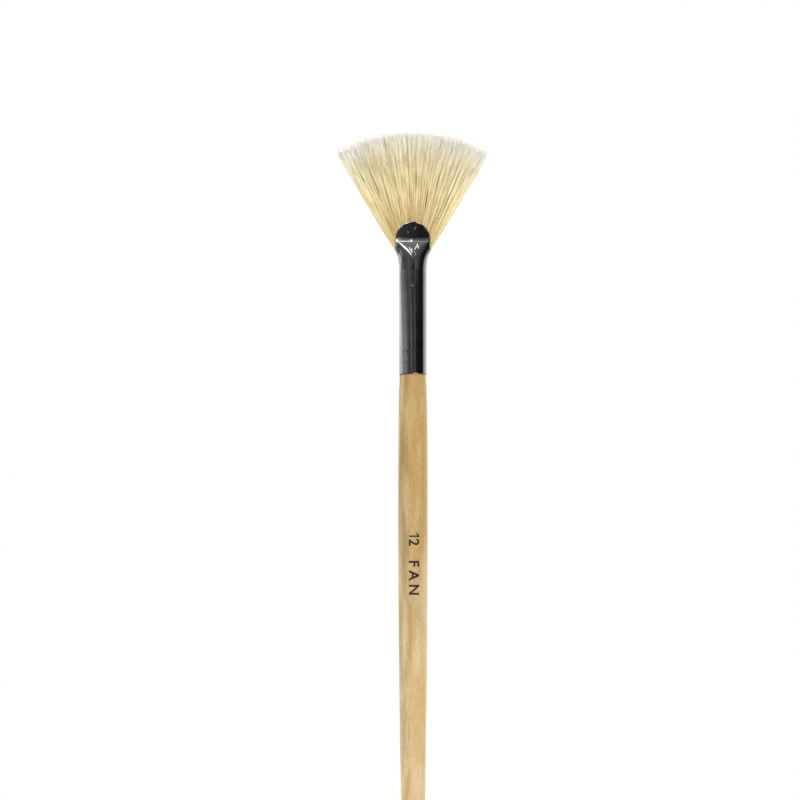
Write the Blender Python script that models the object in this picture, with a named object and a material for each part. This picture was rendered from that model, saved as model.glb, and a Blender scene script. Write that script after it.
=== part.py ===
"""Artist's fan brush: lacquered wooden handle, black plated ferrule pressed flat at its mouth,
and a splayed fan of hog bristle.

The brush stands on the butt of its handle, +Z towards the bristle tips. The fan lies in the XZ
plane and the front faces -Y. Lengths below are in millimetres and become metres in add_body.
"""
import math

import bmesh
import bpy

MM = 0.001

# Overall size
BRUSH_LENGTH = 305.0
FAN_RADIUS = 48.5
FAN_HALF_ANGLE = math.radians(30.5)
FAN_APEX_Z = BRUSH_LENGTH - FAN_RADIUS

# Ferrule: a round tube that is pressed flat towards the mouth, where it flares out to two ears
# and carries a round-topped tongue on the front and on the back
TUBE_RADIUS = 4.54
WALL = 0.35
FOOT_Z = 225.5
FLARE_START_Z = 258.5
FLARE_POWER = 5.5
EAR_Z = 266.9
EAR_HALF_WIDTH = 6.1
PRESS_START_Z = 261.5
PRESS_POWER = 1.6
FACET_START_Z = 263.5
CREASE_Z = 269.5
CREASE_HALF_WIDTH = 5.6
CREASE_HALF_DEPTH = 1.8
TONGUE_RADIUS = 5.73
TONGUE_TOP_Z = 276.0
TONGUE_TOP_HALF_DEPTH = 1.6
TONGUE_SIDE_RUN = 0.1
CRIMP_HEIGHTS = (229.7, 233.5)
CRIMP_DEPTH = 0.12
CRIMP_SPREAD = 0.5

# Handle: (height, radius) where the turned outline changes, above the rounded butt
BUTT_FLAT_RADIUS = 1.2
BUTT_RADIUS = 2.9
BUTT_HEIGHT = 3.2
HANDLE_OUTLINE = (
    (BUTT_HEIGHT, BUTT_RADIUS),
    (30.0, 3.15),
    (80.0, 3.85),
    (127.0, 4.53),
    (150.0, 4.72),
    (170.0, 4.83),
    (196.0, 4.82),
    (210.0, 4.73),
    (219.0, 4.56),
    (225.2, 4.34),
)
SHOULDER_Z = HANDLE_OUTLINE[-1][0]
TENON_TOP_Z = 243.0
TENON_CHAMFER = 0.8

# Inside the ferrule
FIT_GAP = 0.05
CEMENT_THICKNESS = 0.2
CEMENT_END_GAP = 0.4
RESIN_BOTTOM_Z = 243.5
RESIN_TOP_Z = 257.5
ROOTS_BOTTOM_Z = 257.8
ROOTS_GAP = 0.12

# Bristles: the fixed bundle ends just above the tongues, and the locks bend about a line there
FLEX_Z = 277.6
BRISTLE_HALF_DEPTH = 1.15
TIP_HALF_DEPTH = 0.55
BEND_CLEARANCE = 0.25
LOCK_COUNT = 9
LOCK_GAP = 0.3

# Mesh fineness
SIDES = 56
CEMENT_SIDES = 48
HANDLE_SIDES = 48

METAL = ((0.012, 0.012, 0.014), 0.12, 1.0)
WOOD = ((0.62, 0.45, 0.18), 0.35, 0.0)
CEMENT = ((0.72, 0.62, 0.38), 0.5, 0.0)
RESIN = ((0.55, 0.36, 0.12), 0.25, 0.0)
BRISTLE = ((0.76, 0.66, 0.42), 0.6, 0.0)
BRISTLE_DARK = ((0.66, 0.54, 0.29), 0.65, 0.0)


def clear_scene():
    """Remove whatever the file held before."""
    for leftover in list(bpy.data.objects):
        bpy.data.objects.remove(leftover, do_unlink=True)


def make_material(name, look):
    """A Principled material from a (colour, roughness, metallic) triple."""
    colour, roughness, metallic = look
    material = bpy.data.materials.new(name)
    material.use_nodes = True
    shader = material.node_tree.nodes["Principled BSDF"]
    shader.inputs["Base Color"].default_value = (*colour, 1.0)
    shader.inputs["Roughness"].default_value = roughness
    shader.inputs["Metallic"].default_value = metallic
    material.diffuse_color = (*colour, 1.0)
    return material


def add_body(name, rings, look, closed_loop=False, origin=(0.0, 0.0, 0.0)):
    """Skin a list of equal rings into one closed body.

    The first and last ring are capped, or joined to each other when closed_loop is set.
    """
    mesh = bmesh.new()
    loops = []
    for ring in rings:
        points = [[(value - start) * MM for value, start in zip(point, origin)] for point in ring]
        loops.append([mesh.verts.new(point) for point in points])
    pairs = list(zip(loops, loops[1:]))
    if closed_loop:
        pairs.append((loops[-1], loops[0]))
    for lower, upper in pairs:
        for index in range(len(lower)):
            after = (index + 1) % len(lower)
            mesh.faces.new((lower[index], lower[after], upper[after], upper[index]))
    if not closed_loop:
        mesh.faces.new(reversed(loops[0]))
        mesh.faces.new(loops[-1])
    bmesh.ops.recalc_face_normals(mesh, faces=mesh.faces)
    data = bpy.data.meshes.new(name)
    mesh.to_mesh(data)
    mesh.free()
    body = bpy.data.objects.new(name, data)
    body.location = [value * MM for value in origin]
    bpy.context.scene.collection.objects.link(body)
    data.materials.append(make_material(name, look))
    return body


def shade_smooth(body, angle_degrees):
    """Smooth shading with edges sharper than the angle kept crisp."""
    body.data.shade_smooth()
    body.data.set_sharp_from_angle(angle=math.radians(angle_degrees))


def blend(low, high, share):
    """The value at a share of the way from low to high, held at both ends."""
    share = min(1.0, max(0.0, share))
    return low + (high - low) * share


def ramp(value, start, end):
    """How far a value has come from start to end, from 0 to 1."""
    return min(1.0, max(0.0, (value - start) / (end - start)))


def smooth_outline(outline, height):
    """Radius at a height on a smooth curve through the outline's points."""
    last = len(outline) - 2
    index = next((i for i in range(last) if height < outline[i + 1][0]), last)
    (low, r_low), (high, r_high) = outline[index], outline[index + 1]
    before = outline[max(index - 1, 0)]
    after = outline[min(index + 2, len(outline) - 1)]
    slope_low = (r_high - before[1]) / (high - before[0])
    slope_high = (after[1] - r_low) / (after[0] - low)
    span = high - low
    u = (height - low) / span
    return (
        (2 * u**3 - 3 * u**2 + 1) * r_low
        + (u**3 - 2 * u**2 + u) * slope_low * span
        + (3 * u**2 - 2 * u**3) * r_high
        + (u**3 - u**2) * slope_high * span
    )


def circle(radius, height, sides):
    """A level circle of points."""
    return [
        (radius * math.cos(math.tau * i / sides), radius * math.sin(math.tau * i / sides), height)
        for i in range(sides)
    ]


def crimp(height):
    """How far the two rolled rings press the tube in at a height."""
    return sum(CRIMP_DEPTH * math.exp(-((height - ring) / CRIMP_SPREAD) ** 2) for ring in CRIMP_HEIGHTS)


def crimp_levels(low, high):
    """The heights at which a crimped wall needs an edge loop."""
    levels = [low, high]
    for ring in CRIMP_HEIGHTS:
        levels += [ring + CRIMP_SPREAD * step for step in (-1.8, -0.9, 0.0, 0.9, 1.8)]
    return sorted(level for level in levels if low <= level <= high)


def ferrule_section(height):
    """Half width, half depth and straight half length of the ferrule's outside at a height."""
    flare = ramp(height, FLARE_START_Z, EAR_Z) ** FLARE_POWER
    half_width = blend(TUBE_RADIUS, EAR_HALF_WIDTH, flare) - crimp(height)
    press = ramp(height, PRESS_START_Z, CREASE_Z) ** PRESS_POWER
    half_depth = blend(TUBE_RADIUS, CREASE_HALF_DEPTH, press) - crimp(height)
    tongue = ramp(height, CREASE_Z, TONGUE_TOP_Z)
    half_depth -= (CREASE_HALF_DEPTH - TONGUE_TOP_HALF_DEPTH) * tongue
    facet = ramp(height, FACET_START_Z, CREASE_Z) ** 2
    return half_width, half_depth, CREASE_HALF_WIDTH * facet


def section_point(half_width, half_depth, straight, share):
    """A point at a share of the way round a level oval with two straight sides.

    The two ends are half ellipses, and the share counts by length along the oval.
    """
    end_width = half_width - straight
    end_length = 0.5 * math.pi * math.sqrt(0.5 * (end_width**2 + half_depth**2))
    quarter = straight + end_length
    turn = (share % 1.0) * 4.0
    side = int(turn)
    along = (turn - side) * quarter
    if side % 2 == 1:
        along = quarter - along
    if along > end_length:
        x, y = quarter - along, half_depth
    else:
        angle = 0.5 * math.pi * along / end_length
        x, y = straight + end_width * math.cos(angle), half_depth * math.sin(angle)
    return (x if side in (0, 3) else -x), (y if side < 2 else -y)


def mouth_height(x):
    """Height of the ferrule's cut edge at a distance from its middle."""
    reach = abs(x)
    shoulder = TONGUE_TOP_Z - TONGUE_RADIUS
    if reach < TONGUE_RADIUS:
        return shoulder + math.sqrt(TONGUE_RADIUS**2 - reach**2)
    return blend(shoulder, EAR_Z, (reach - TONGUE_RADIUS) / TONGUE_SIDE_RUN)


def column_top(share, inset):
    """Where the column of wall at this share of the section ends."""
    top = EAR_Z
    for _ in range(12):
        half_width, half_depth, straight = ferrule_section(top)
        x, _ = section_point(half_width - inset, half_depth - inset, straight, share)
        top = 0.5 * (top + mouth_height(x * EAR_HALF_WIDTH / (EAR_HALF_WIDTH - inset)))
    return top


def ferrule_wall(inset, levels, mouth_steps):
    """Rings of the tube's wall, with the last ones rising to the cut edge of the mouth."""
    rings = []
    for level in levels:
        half_width, half_depth, straight = ferrule_section(level)
        rings.append(level_oval(half_width - inset, half_depth - inset, straight, level))
    tops = [column_top(i / SIDES, inset) for i in range(SIDES)]
    for step in range(1, mouth_steps + 1):
        ring = []
        for i in range(SIDES):
            height = blend(levels[-1], tops[i], step / mouth_steps)
            half_width, half_depth, straight = ferrule_section(height)
            x, y = section_point(half_width - inset, half_depth - inset, straight, i / SIDES)
            ring.append((x, y, height))
        rings.append(ring)
    return rings


def make_ferrule():
    """Thin tube: crimped at the foot, pressed flat at the mouth, with a tongue on each face."""
    levels = crimp_levels(FOOT_Z, CRIMP_HEIGHTS[-1] + 1.8 * CRIMP_SPREAD)
    levels += [248.0, FLARE_START_Z, PRESS_START_Z, 262.5, FACET_START_Z, 264.5, 265.5, 266.4]
    outside = ferrule_wall(0.0, levels, mouth_steps=6)
    inside = ferrule_wall(WALL, levels, mouth_steps=6)
    body = add_body("ferrule", outside + inside[::-1], METAL, closed_loop=True)
    shade_smooth(body, 35.0)


def make_handle():
    """Turned handle with a rounded butt and a tenon that fills the ferrule's foot."""
    rings = []
    butt_steps = 6
    for step in range(butt_steps):
        angle = 0.5 * math.pi * step / butt_steps
        radius = BUTT_FLAT_RADIUS + (BUTT_RADIUS - BUTT_FLAT_RADIUS) * math.sin(angle)
        rings.append(circle(radius, BUTT_HEIGHT * (1.0 - math.cos(angle)), HANDLE_SIDES))
    body_steps = 22
    for step in range(body_steps + 1):
        height = blend(BUTT_HEIGHT, SHOULDER_Z, step / body_steps)
        rings.append(circle(smooth_outline(HANDLE_OUTLINE, height), height, HANDLE_SIDES))
    tenon_radius = TUBE_RADIUS - WALL - CEMENT_THICKNESS - 2.0 * FIT_GAP
    for height in crimp_levels(SHOULDER_Z, TENON_TOP_Z - TENON_CHAMFER):
        rings.append(circle(tenon_radius - crimp(height), height, HANDLE_SIDES))
    rings.append(circle(tenon_radius - TENON_CHAMFER, TENON_TOP_Z, HANDLE_SIDES))
    body = add_body("handle", rings, WOOD)
    shade_smooth(body, 35.0)


def make_cement():
    """Sleeve of glue between the tenon and the tube, pressed in by the crimps."""
    outer_radius = TUBE_RADIUS - WALL - FIT_GAP
    inner_radius = outer_radius - CEMENT_THICKNESS
    levels = crimp_levels(FOOT_Z + CEMENT_END_GAP, TENON_TOP_Z - TENON_CHAMFER)
    outside = [circle(outer_radius - crimp(z), z, CEMENT_SIDES) for z in levels]
    inside = [circle(inner_radius - crimp(z), z, CEMENT_SIDES) for z in levels]
    body = add_body("handle_cement", outside + inside[::-1], CEMENT, closed_loop=True)
    shade_smooth(body, 35.0)


def make_resin():
    """Plug of hard setting that bonds the bristle roots into the tube."""
    radius = TUBE_RADIUS - WALL - FIT_GAP
    rings = [circle(radius, z, CEMENT_SIDES) for z in (RESIN_BOTTOM_Z, RESIN_TOP_Z)]
    body = add_body("setting_resin", rings, RESIN)
    shade_smooth(body, 35.0)


def fan_half_width(height):
    """Half width of the splayed bristles at a height above the ears."""
    return (height - FAN_APEX_Z) * math.tan(FAN_HALF_ANGLE)


def make_roots():
    """Bundle of bristles that fills the mouth and fans out beside and between the tongues."""
    rings = []
    inset = WALL + ROOTS_GAP
    for height in (ROOTS_BOTTOM_Z, PRESS_START_Z, FACET_START_Z, 265.2, 266.2, EAR_Z):
        half_width, half_depth, _ = ferrule_section(height)
        width = min(half_width, TUBE_RADIUS + 0.9) - inset
        rings.append(level_oval(width, half_depth - inset, 0.0, height))
    for height, depth in ((267.35, 1.2), (268.2, 1.0), (CREASE_Z, 1.1)):
        rings.append(level_oval(fan_half_width(height), depth, 0.0, height))
    for height in (272.5, FLEX_Z - BRISTLE_HALF_DEPTH - BEND_CLEARANCE):
        width = fan_half_width(height)
        rings.append(level_oval(width, BRISTLE_HALF_DEPTH, width - BRISTLE_HALF_DEPTH, height))
    body = add_body("bristle_roots", rings, BRISTLE_DARK)
    shade_smooth(body, 40.0)


def level_oval(half_width, half_depth, straight, height):
    """A level ring with as many points as the ferrule's sections."""
    return [(*section_point(half_width, half_depth, straight, i / SIDES), height) for i in range(SIDES)]


def make_lock(number):
    """One radial lock of the fan, from the bending line to the tips.

    Its lower end is rounded about the bending line, and it thins towards the tips.
    """
    columns = 5
    first = blend(-FAN_HALF_ANGLE, FAN_HALF_ANGLE, number / LOCK_COUNT)
    last = blend(-FAN_HALF_ANGLE, FAN_HALF_ANGLE, (number + 1) / LOCK_COUNT)
    rings = []
    for angle in (-75.0, -55.0, -30.0, 0.0):
        drop = BRISTLE_HALF_DEPTH * math.sin(math.radians(angle))
        depth = BRISTLE_HALF_DEPTH * math.cos(math.radians(angle))
        rings.append(lock_ring(first, last, columns, drop, 0.0, depth))
    rows = 6
    for row in range(1, rows + 1):
        share = row / rows
        depth = blend(BRISTLE_HALF_DEPTH, TIP_HALF_DEPTH, share)
        rings.append(lock_ring(first, last, columns, 0.0, share, depth))
    name = f"bristle_lock_{number + 1}"
    look = BRISTLE if number % 2 == 0 else BRISTLE_DARK
    body = add_body(name, rings, look, origin=(0.0, 0.0, FLEX_Z))
    shade_smooth(body, 40.0)


def lock_ring(first, last, columns, drop, share, depth):
    """A closed ring round a lock: along its front, then back along its rear."""
    front = []
    for column in range(columns):
        angle = blend(first, last, column / (columns - 1))
        tip_z = FAN_APEX_Z + FAN_RADIUS * math.cos(angle)
        height = blend(FLEX_Z, tip_z, share) + drop
        inward = LOCK_GAP * (0.5 - column / (columns - 1))
        front.append(((height - FAN_APEX_Z) * math.tan(angle) + inward, -depth, height))
    return front + [(x, -y, z) for x, y, z in reversed(front)]


clear_scene()
make_handle()
make_ferrule()
make_cement()
make_resin()
make_roots()
for lock in range(LOCK_COUNT):
    make_lock(lock)
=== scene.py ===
import math

import bmesh
import bpy
import numpy as np
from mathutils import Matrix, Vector


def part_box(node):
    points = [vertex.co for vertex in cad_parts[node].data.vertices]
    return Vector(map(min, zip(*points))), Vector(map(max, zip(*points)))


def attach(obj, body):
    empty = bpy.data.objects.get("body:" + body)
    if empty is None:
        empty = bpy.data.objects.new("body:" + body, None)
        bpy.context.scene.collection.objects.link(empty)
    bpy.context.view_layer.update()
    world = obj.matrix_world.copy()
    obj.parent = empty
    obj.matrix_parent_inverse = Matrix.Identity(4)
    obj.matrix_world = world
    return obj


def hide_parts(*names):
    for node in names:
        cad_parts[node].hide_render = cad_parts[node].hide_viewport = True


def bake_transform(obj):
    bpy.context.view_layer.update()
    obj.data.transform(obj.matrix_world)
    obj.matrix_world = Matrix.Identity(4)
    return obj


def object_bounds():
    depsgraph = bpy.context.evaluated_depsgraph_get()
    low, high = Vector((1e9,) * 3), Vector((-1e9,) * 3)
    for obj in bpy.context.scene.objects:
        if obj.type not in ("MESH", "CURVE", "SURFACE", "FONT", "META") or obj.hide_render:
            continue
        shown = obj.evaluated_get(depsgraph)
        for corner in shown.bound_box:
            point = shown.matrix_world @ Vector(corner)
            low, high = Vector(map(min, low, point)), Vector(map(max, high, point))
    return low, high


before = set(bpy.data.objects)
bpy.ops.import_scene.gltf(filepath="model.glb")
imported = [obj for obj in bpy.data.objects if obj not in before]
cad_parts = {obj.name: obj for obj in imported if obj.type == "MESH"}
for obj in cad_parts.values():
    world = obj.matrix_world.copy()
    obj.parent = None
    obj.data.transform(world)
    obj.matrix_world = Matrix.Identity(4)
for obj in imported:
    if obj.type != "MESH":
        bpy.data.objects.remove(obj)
cad_low, cad_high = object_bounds()

# Artist's fan brush: the looks. The brush stands on its butt with the fan in the XZ plane and its
# front towards -Y. Lengths are in millimetres in the row frame and become metres in make_mesh.
MM = 0.001

# Places read from the frame
ferrule_low, ferrule_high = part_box("ferrule")
BRUSH_TOP = cad_high[2] / MM
FOOT_Z = ferrule_low[2] / MM
TONGUE_TOP_Z = ferrule_high[2] / MM
EAR_HALF_WIDTH = ferrule_high[0] / MM
TENON_TOP_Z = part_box("handle")[1][2] / MM
ROOT_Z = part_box("setting_resin")[1][2] / MM + 0.4

# Fan of bristle: a sector whose sides meet at a point inside the ferrule
FAN_RADIUS = 50.2
FAN_HALF_ANGLE = math.radians(30.5)
FAN_APEX_Z = BRUSH_TOP - 48.5

# Ferrule, as in the CAD, with a rounded crease, a crowned tongue and lighter crimps
TUBE_RADIUS = 4.54
WALL = 0.35
FLARE_START_Z = 256.5
FLARE_POWER = 4.4
EAR_Z = 266.9
PRESS_START_Z = 259.5
PRESS_POWER = 2.2
FACET_START_Z = 263.5
CREASE_Z = 269.5
CREASE_HALF_WIDTH = 5.25
CREASE_HALF_DEPTH = 1.95
FILLET_DROP = 0.45
FILLET_RUN = 1.7
TONGUE_RADIUS = 5.73
TONGUE_TOP_HALF_DEPTH = 1.47
TONGUE_SIDE_RUN = 0.1
TONGUE_CROWN = 0.12
CRIMP_HEIGHTS = (229.7, 233.5)
CRIMP_DEPTH = 0.008
CRIMP_SPREAD = 0.7

# Dents and nicks in the ferrule's front: from (x, z) to (x, z), then width and depth
DENTS = (
    (-0.1, 261.8, 0.35, 257.0, 0.60, 0.015),
    (0.5, 266.7, 1.3, 268.4, 0.15, 0.024),
    (1.3, 268.4, 1.9, 266.7, 0.14, 0.024),
    (1.15, 267.4, 1.45, 266.9, 0.12, 0.018),
    (-1.3, 267.3, -0.75, 265.8, 0.14, 0.022),
    (-0.5, 266.8, -0.5, 265.6, 0.13, 0.022),
    (0.35, 265.7, 0.8, 265.1, 0.13, 0.036),
    (0.8, 265.1, 0.45, 264.5, 0.13, 0.036),
    (-0.35, 254.5, -0.05, 254.4, 0.20, 0.06),
    (-0.6, 270.0, -0.55, 269.6, 0.15, 0.04),
    (0.5, 273.6, 0.9, 274.2, 0.20, 0.04),
    (-1.9, 272.6, -1.6, 272.5, 0.20, 0.04),
)

# Painted highlights on the plating, partly real worn plating at the nicks: bright lines on the crease, the
# nicks, the tongue's rim and the foot: from (x, z) to (x, z), then width and how bright
GLINTS_AND_WEAR = (
    (-5.5, 269.60, -0.8, 269.48, 0.13, 1.0),
    (0.7, 269.50, 5.4, 269.40, 0.11, 0.22),
    (-0.58, 270.15, -0.58, 269.6, 0.09, 0.9),
    (-2.6, 275.36, -1.5, 275.80, 0.11, 0.9),
    (1.3, 275.88, 2.5, 275.40, 0.15, 1.0),
    (-4.6, 273.69, -3.4, 274.88, 0.12, 0.35),
    (3.5, 274.80, 5.2, 272.68, 0.12, 0.35),
    (0.45, 273.5, 0.95, 274.3, 0.12, 0.35),
    (-1.95, 272.6, -1.55, 272.5, 0.12, 0.35),
    (-0.35, 254.5, -0.05, 254.4, 0.12, 0.5),
    (0.1, 225.46, 1.5, 225.46, 0.10, 1.0),
)

# Mesh of the ferrule: columns round it, steps between its level rings, where their spacing
# changes, how far below the flared corners they end, and the rings from there to the cut edge
FERRULE_COLUMNS = 320
FINE_STEP = 0.12
FLARE_STEP = 0.3
PLAIN_STEP = 1.0
INSIDE_STEP = 1.3
CRIMPS_TOP_Z = 236.0
PLAIN_TOP_Z = 252.0
MOUTH_MARGIN = 0.3
OUTSIDE_MOUTH_STEPS = 70
INSIDE_MOUTH_STEPS = 14

# How far the cut edge and the foot bulge, as a share of the wall
RIM_BULGE = 0.35
FOOT_BULGE = 0.3

# Handle outline, as in the CAD
BUTT_FLAT_RADIUS = 1.2
BUTT_RADIUS = 2.9
BUTT_HEIGHT = 3.2
HANDLE_OUTLINE = (
    (BUTT_HEIGHT, BUTT_RADIUS),
    (30.0, 3.15),
    (80.0, 3.85),
    (127.0, 4.53),
    (150.0, 4.72),
    (170.0, 4.83),
    (196.0, 4.82),
    (210.0, 4.73),
    (219.0, 4.56),
    (225.2, 4.34),
)
SHOULDER_Z = HANDLE_OUTLINE[-1][0]
SHOULDER_ROUNDING = 0.25
TENON_RADIUS = 3.89
TENON_CHAMFER = 0.8

# Mesh of the handle: columns round it, the radius of the flat cap on each end, and the angle from
# which an edge is sharp
HANDLE_COLUMNS = 128
CAP_RADIUS = 0.02
HARD_EDGE = math.radians(40.0)

# Bundle of bristles: half depth at heights from the resin to the tips, the gap to the ferrule's
# wall, and where the bundle splays beside the tongues
BUNDLE_DEPTHS = (
    (ROOT_Z, 3.6),
    (PRESS_START_Z, 3.5),
    (264.0, 2.5),
    (266.0, 1.45),
    (267.2, 1.1),
    (272.0, 1.1),
    (TONGUE_TOP_Z, 1.12),
    (290.0, 1.1),
    (BRUSH_TOP, 0.85),
)
WALL_GAP = 0.12
SPLAY_START_Z = 266.0
SPLAY_END_Z = 268.6

# Bristles: how many in each mesh, steps and sides of each, thickness and taper
BRISTLE_COUNT = 620
BRISTLE_STEPS = 17
BRISTLE_SIDES = 5
BRISTLE_RADII = (0.075, 0.125)
BRISTLE_TAPER = 0.62

# How far single bristles stray: leaning sideways, waving sideways, waving to the front and back,
# how many waves of each kind, and over what height they start
STRAY = 0.16
WAVE = 0.09
SWAY = 0.16
WAVES = (0.6, 1.8)
SWAYS = (0.8, 2.4)
STRAY_RUN = 6.0

# How far tips fall short of the fan's radius: least, and a gamma distribution's shape and scale
TIP_SHORTFALL = (0.3, 2.0, 0.75)
FLAG_SHORTFALL = (-0.7, 1.8, 1.0)

# Locks of pale bristles on each face: how many, relative widths, how far their bristles are drawn
# together, how their tone varies, paleness of the bristles, and how much the fan's edges gain
LOCKS = 31
LOCK_WIDTHS = (0.5, 1.5)
LOCK_PULLS = (0.05, 0.6)
LOCK_TONE = 0.12
LOCK_PALENESS = (0.42, 1.0)
LOCK_EDGE_PALENESS = 0.28

# Split ends: how many in each mesh, steps and sides of each, thickness and taper, the share of a
# bristle's length where they start, and how far they spread
FLAG_COUNT = 1700
FLAG_STEPS = 6
FLAG_SIDES = 4
FLAG_RADIUS = 0.045
FLAG_TAPER = 0.6
FLAG_START = 0.80
FLAG_SPREAD = 0.22

# Dark hairs: angle from upright, dark from and to these distances from the apex, and place from
# the front (-1) to the rear (1)
DARK_HAIRS = (
    (-11.0, 44.8, 49.0, -1.0),
    (-17.5, 44.0, 45.6, -1.0),
    (-21.0, 31.5, 35.0, -1.0),
    (-9.1, 24.0, 30.0, -0.95),
    (-26.0, 36.8, 38.8, -1.0),
    (-14.2, 35.5, 38.0, -1.0),
    (-5.6, 24.5, 26.5, -0.95),
    (11.4, 45.2, 49.0, -1.0),
    (16.8, 44.2, 46.0, -1.0),
    (20.2, 33.0, 36.6, -1.0),
    (9.4, 25.0, 29.5, -0.95),
    (26.4, 36.4, 38.2, -1.0),
    (14.0, 33.0, 36.4, -1.0),
    (-8.0, 40.0, 44.0, 1.0),
    (6.5, 36.0, 45.0, 1.0),
    (18.0, 33.0, 40.0, 1.0),
    (-20.0, 38.0, 46.0, 1.0),
)
HAIR_STEPS = 40
HAIR_RADIUS = 0.09
HAIR_PALENESS = 0.7
HAIR_TAPER = 0.4

# Golden bristles scattered through the fan, with painted shade over part of their length for the shadowed
# gaps between locks: how many, the widest angle, where the painted shade starts from the apex, its length and
# how dark it is
SHADE_STREAKS = 110
STREAK_ANGLE = 27.0
STREAK_START = (17.0, 38.0)
STREAK_LENGTH = (2.0, 9.0)
STREAK_SHADE = (0.1, 0.4)
STREAK_RADIUS = 0.085
STREAK_PALENESS = 0.25

# Strands side by side in a mesh's UV map
UV_COLUMNS = 100

# Where the bristles bend, and the heights of their steps, close together there
LEVEL_SHARES = (0.0, 0.20, 0.62)
LEVEL_HEIGHTS = (ROOT_Z, 272.0, 286.0)

# Wisps of bristles that share one tone: how fine they are, their length, and their contrast
WISP_SCALE = 70.0
WISP_STRETCH = 0.09
WISP_CONTRAST = 2.3

# Printed size mark: glyph height, where each group starts, its centre's offset round the handle,
# the film of ink, and the width of the strips it is cut into so that it curves. A capital of the
# built-in font is CAPITAL_SHARE of its size.
MARK_HEIGHT = 3.5
CAPITAL_SHARE = 0.729
FIGURE_ONE_TOP_Z = 173.0
FIGURE_TWO_TOP_Z = 171.15
SHAPE_NAME_TOP_Z = 164.0
SHAPE_NAME_SPACING = 1.5
FIGURE_ONE = ((0.22, 0.0), (0.36, 0.0), (0.36, 1.0), (0.25, 1.0), (0.0, 0.78), (0.0, 0.63), (0.22, 0.80))
MARK_OFFSET = 0.45
MARK_LIFT = 0.02
MARK_THICKNESS = 0.035
MARK_BOLDNESS = 0.11
MARK_CUT = 0.2

rng = np.random.default_rng(12)


# ---------------------------------------------------------------- mesh helpers

def make_mesh(name, points, faces, material):
    """A mesh object from an (n, 3) array in millimetres and an (m, 4) or (m, 3) array of faces."""
    data = bpy.data.meshes.new(name)
    sides = faces.shape[1]
    data.vertices.add(len(points))
    data.vertices.foreach_set("co", (points * MM).astype(np.float32).ravel())
    data.loops.add(faces.size)
    data.loops.foreach_set("vertex_index", faces.astype(np.int32).ravel())
    data.polygons.add(len(faces))
    data.polygons.foreach_set("loop_start", np.arange(0, faces.size, sides, dtype=np.int32))
    data.update(calc_edges=True)
    data.validate()
    data.shade_smooth()
    body = bpy.data.objects.new(name, data)
    bpy.context.scene.collection.objects.link(body)
    data.materials.append(material)
    return body


def ring_faces(rows, columns, closed_loop=False):
    """Quads between consecutive rings of a grid of points, wrapping round each ring."""
    row = np.arange(rows if closed_loop else rows - 1)[:, None]
    column = np.arange(columns)[None, :]
    after_row = (row + 1) % rows
    after_column = (column + 1) % columns
    corners = (
        row * columns + column,
        row * columns + after_column,
        after_row * columns + after_column,
        after_row * columns + column,
    )
    return np.stack([np.broadcast_to(c, (len(row), columns)) for c in corners], axis=-1).reshape(-1, 4)


def rings(radii, heights, columns):
    """Points on level circles of these radii at these heights, as an (n, 3) array."""
    turn = np.linspace(0.0, math.tau, columns, endpoint=False)
    x, y = radii[:, None] * np.cos(turn), radii[:, None] * np.sin(turn)
    return np.stack([x, y, np.broadcast_to(heights[:, None], x.shape)], axis=-1).reshape(-1, 3)


def close_ends(body):
    """Cap the open ends of a mesh's tubes; the tubes' own points stay in order."""
    mesh = bmesh.new()
    mesh.from_mesh(body.data)
    bmesh.ops.holes_fill(mesh, edges=[edge for edge in mesh.edges if edge.is_boundary])
    bmesh.ops.recalc_face_normals(mesh, faces=mesh.faces)
    mesh.to_mesh(body.data)
    mesh.free()
    body.data.shade_smooth()


def sort_faces(mesh):
    """Put a bmesh's faces in the order of their points, which is the same in every run."""
    mesh.verts.index_update()
    count = len(mesh.verts)

    def place(face):
        """A number that only this face has, from its three lowest points."""
        first, second, third = sorted(vert.index for vert in face.verts)[:3]
        return (first * count + second) * count + third

    mesh.faces.sort(key=place)


# ---------------------------------------------------------------- shapes shared with the CAD

def ramp(value, start, end):
    """How far a value has come from start to end, from 0 to 1."""
    return np.clip((value - start) / (end - start), 0.0, 1.0)


def ease(value, start, end):
    """A ramp that starts and ends smoothly."""
    t = ramp(value, start, end)
    return t * t * (3.0 - 2.0 * t)


def smooth_outline(outline, height):
    """Radius at each height on a smooth curve through the outline's points."""
    z = np.array([point[0] for point in outline])
    r = np.array([point[1] for point in outline])
    low = np.clip(np.searchsorted(z, height, side="right") - 1, 0, len(z) - 2)
    high = low + 1
    before = np.maximum(low - 1, 0)
    after = np.minimum(high + 1, len(z) - 1)
    slope_low = (r[high] - r[before]) / (z[high] - z[before])
    slope_high = (r[after] - r[low]) / (z[after] - z[low])
    span = z[high] - z[low]
    u = (height - z[low]) / span
    return (
        (2 * u**3 - 3 * u**2 + 1) * r[low]
        + (u**3 - 2 * u**2 + u) * slope_low * span
        + (3 * u**2 - 2 * u**3) * r[high]
        + (u**3 - u**2) * slope_high * span
    )


def crimp(height):
    """How far the two rolled rings press the tube in at a height."""
    return sum(CRIMP_DEPTH * np.exp(-(((height - ring) / CRIMP_SPREAD) ** 2)) for ring in CRIMP_HEIGHTS)


def fillet(height):
    """How far the rounding above the crease has come at a height."""
    return 1.0 - (1.0 - ramp(height, CREASE_Z, CREASE_Z + FILLET_RUN)) ** 2


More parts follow.
